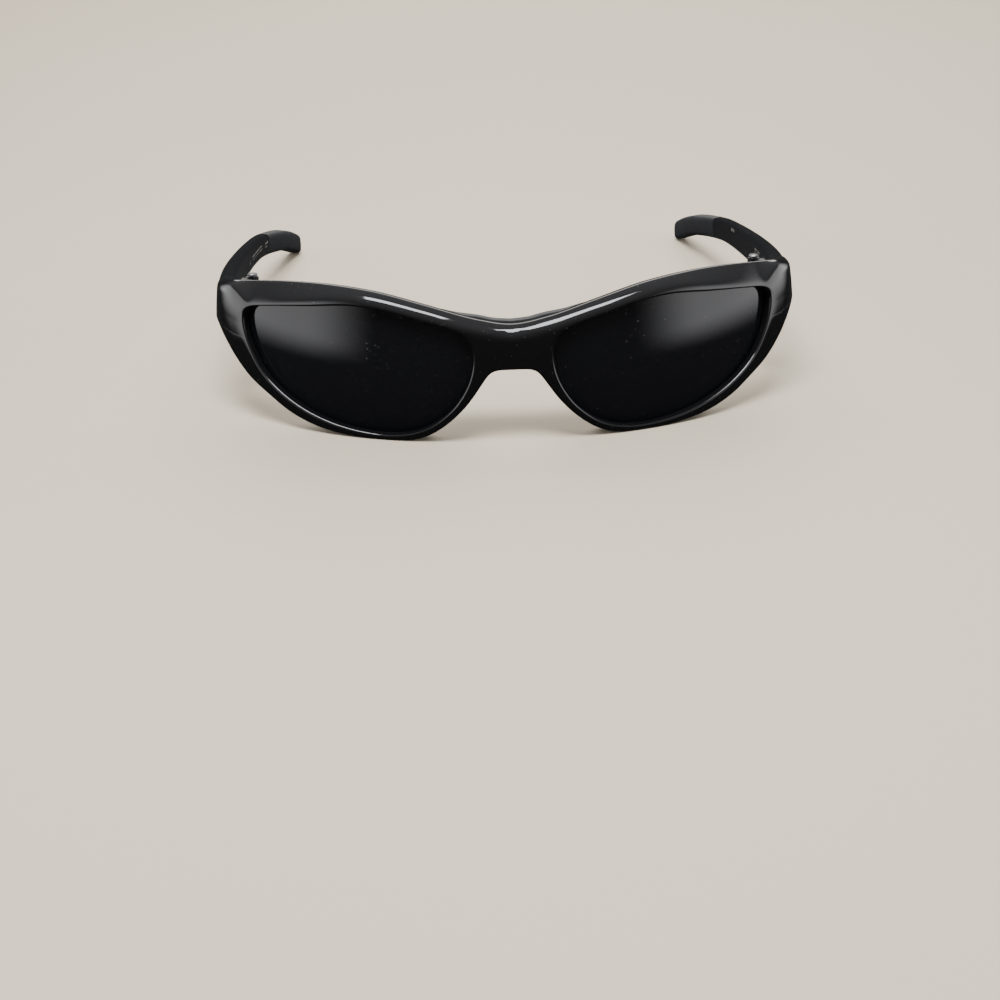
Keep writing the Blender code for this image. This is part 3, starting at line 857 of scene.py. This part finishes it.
def soft_rubber(name, colour, worn, grain):
    """Moulded rubber: satin, with a fine grain, and slightly polished where it is handled."""
    finish = Finish(name, IOR=1.45, Specular_IOR_Level=0.3)
    handled = finish.step(finish.noise(scale=60, detail=2.0), low=0.35, high=0.7)
    fine = finish.noise(scale=grain, detail=2.0)
    lint = dust(finish, share=0.01)
    tone = finish.colours(handled, colour, worn)
    finish.set("Base Color", finish.colours(lint * 0.5, tone, (0.35, 0.34, 0.33, 1)))
    finish.set("Roughness", 0.5 - handled * 0.14 + fine * 0.08)
    finish.bump(fine, strength=0.25, distance=0.00008)
    return finish.material


def hinge_steel(name, bright, dull):
    """Drawn steel strip with its grain along the leaf, duller in patches."""
    finish = Finish(name, Metallic=1.0)
    grain = finish.noise(scale=9000, detail=2.0, vector=finish.stretched((1, 0.03, 1)))
    stain = finish.step(finish.noise(scale=600, detail=2.0), low=0.45, high=0.75)
    finish.set("Base Color", finish.colours(stain, bright, dull))
    finish.set("Roughness", 0.24 + grain * 0.16 + stain * 0.15)
    finish.bump(grain, strength=0.15, distance=0.00005)
    return finish.material


def natural_nylon():
    """Natural nylon washer: milky, waxy, slightly uneven."""
    finish = Finish("natural_nylon", Subsurface_Weight=0.1, Roughness=0.45)
    cloud = finish.noise(scale=700, detail=3.0)
    finish.set("Base Color", finish.colours(cloud, (0.72, 0.69, 0.6, 1), (0.6, 0.57, 0.48, 1)))
    finish.bump(cloud, strength=0.1, distance=0.00005)
    return finish.material


def pale_table():
    """A plain, slightly warm table top."""
    finish = Finish("pale_table", Specular_IOR_Level=0.2)
    cloud = finish.noise(scale=3.0, detail=2.0)
    finish.set("Base Color", finish.colours(cloud, (0.53, 0.46, 0.35, 1), (0.57, 0.495, 0.38, 1)))
    finish.set("Roughness", 0.55 + cloud * 0.1)
    return finish.material


# ---------------------------------------------------------------- camera, table and lights

def camera():
    """A camera placed in the worn position and tipped with the glasses."""
    turn, rise, roll = (math.radians(a) for a in (CAMERA_TURN, CAMERA_RISE, CAMERA_ROLL))
    level_run = math.cos(rise)
    back = Vector((math.sin(turn) * level_run, -math.cos(turn) * level_run, math.sin(rise)))
    right = Vector((math.cos(turn), math.sin(turn), 0))
    above = back.cross(right)
    level = right * math.cos(roll) + above * math.sin(roll)
    upright = above * math.cos(roll) - right * math.sin(roll)
    tip = Matrix.Rotation(-TILT, 3, "X")
    place = to_row(Vector(CAMERA_TARGET) + back * CAMERA_DISTANCE)
    data = bpy.data.cameras.new("camera")
    data.sensor_width = CAMERA_SENSOR
    data.lens = CAMERA_LENS
    data.clip_start = CAMERA_CLIP
    made = bpy.data.objects.new("camera", data)
    bpy.context.scene.collection.objects.link(made)
    axes = Matrix((tip @ level, tip @ upright, tip @ back)).transposed()
    made.matrix_world = Matrix.Translation(place) @ axes.to_4x4()
    bpy.context.scene.camera = made


def soft_light(name, place, size, power, colour):
    data = bpy.data.lights.new(name, "AREA")
    data.shape = "RECTANGLE"
    data.size, data.size_y = size
    data.energy = power
    data.color = colour
    made = bpy.data.objects.new(name, data)
    bpy.context.scene.collection.objects.link(made)
    made.location = place
    towards = Vector(LIGHT_AIM) - Vector(place)
    made.rotation_euler = towards.to_track_quat("-Z", "Y").to_euler()


def table_top():
    """The table, which the black gloss doesn't mirror, so that it stays black."""
    bpy.ops.mesh.primitive_plane_add(size=TABLE_SIZE, location=(0, 0, -TABLE_DROP))
    table = bpy.context.object
    table.name = "table_top"
    bpy.ops.object.transform_apply(location=True, rotation=True, scale=True)
    table.data.materials.append(pale_table())
    table.visible_glossy = False


def room():
    """A soft room: dim at the horizon, brighter above, with a low glow at both sides."""
    world = bpy.data.worlds.new("room")
    bpy.context.scene.world = world
    world.use_nodes = True
    tree = world.node_tree
    heading = {"Vector": add_node(tree, "ShaderNodeTexCoord", {}, {}, "Generated")}
    across, height = (add_node(tree, "ShaderNodeSeparateXYZ", {}, heading, axis) for axis in "XZ")
    above_table = smooth_step(tree, height, -0.2, -0.05, 0.0, 1.0)
    high_up = smooth_step(tree, height, 0.3, 0.55, 0.0, 1.0)
    band = above_table * (1 - high_up)
    sides = smooth_step(tree, across * across, 0.3, 0.8, 0.0, SIDE_GLOW) * band
    overall = smooth_step(tree, height, 0.1, 0.95, *ROOM_GLOW)
    background = tree.nodes["Background"]
    background.inputs["Color"].default_value = ROOM_COLOUR
    feed(background.inputs["Strength"], overall + sides)


camera()
table_top()
room()
for light in LIGHTS:
    soft_light(*light)

gloss = moulded_gloss("gloss_black_frame", (0.004, 0.0041, 0.0046, 1))
temple_black = (0.005, 0.0053, 0.0065, 1)
temple_gloss = {
    "left": moulded_gloss("gloss_black_left_temple", temple_black, left_print),
    "right": moulded_gloss("gloss_black_right_temple", temple_black, right_print),
}
lens_finish = smoke_lens()
saddle_rubber = soft_rubber(
    "saddle_rubber", (0.022, 0.022, 0.023, 1), (0.036, 0.036, 0.037, 1), 3500
)
tip_rubber = soft_rubber("tip_rubber", (0.009, 0.0095, 0.012, 1), (0.014, 0.0155, 0.019, 1), 4200)
leaf_steel = hinge_steel("blackened_steel", (0.06, 0.06, 0.062, 1), (0.03, 0.03, 0.032, 1))
screw_steel = hinge_steel("screw_steel", (0.26, 0.255, 0.25, 1), (0.14, 0.138, 0.135, 1))
nylon = natural_nylon()

rim_path = opening_path()
finished(
    "wrap_front", front_frame_mesh(rim_path), gloss, "front", ["front_frame"], sharp=40
)
finished(
    "bridge_saddle", nose_saddle_mesh(), saddle_rubber, "front", ["nose_saddle"],
    sharp=50,
)
for side, word in SIDES:
    body = f"{word}_temple"
    finished(
        f"dark_lens_{word}", lens_mesh(rim_path), lens_finish, "front",
        [f"lens_{word}"], side,
    )
    finished(
        f"temple_arm_{word}", temple_mesh(), temple_gloss[word], body,
        [f"temple_{word}"], side,
    )
    finished(
        f"temple_tip_{word}", grip_mesh(), tip_rubber, body,
        [f"temple_grip_{word}"], side,
    )
    for kind, metal_or_nylon in (
        ("front_hinge_leaf", leaf_steel), ("temple_hinge_leaf", leaf_steel),
        ("hinge_screw", screw_steel), ("temple_core", screw_steel),
        ("hinge_washer_lower", nylon), ("hinge_washer_upper", nylon),
    ):
        slots = bpy.data.objects[f"{kind}_{word}"].data.materials
        slots.clear()
        slots.append(metal_or_nylon)
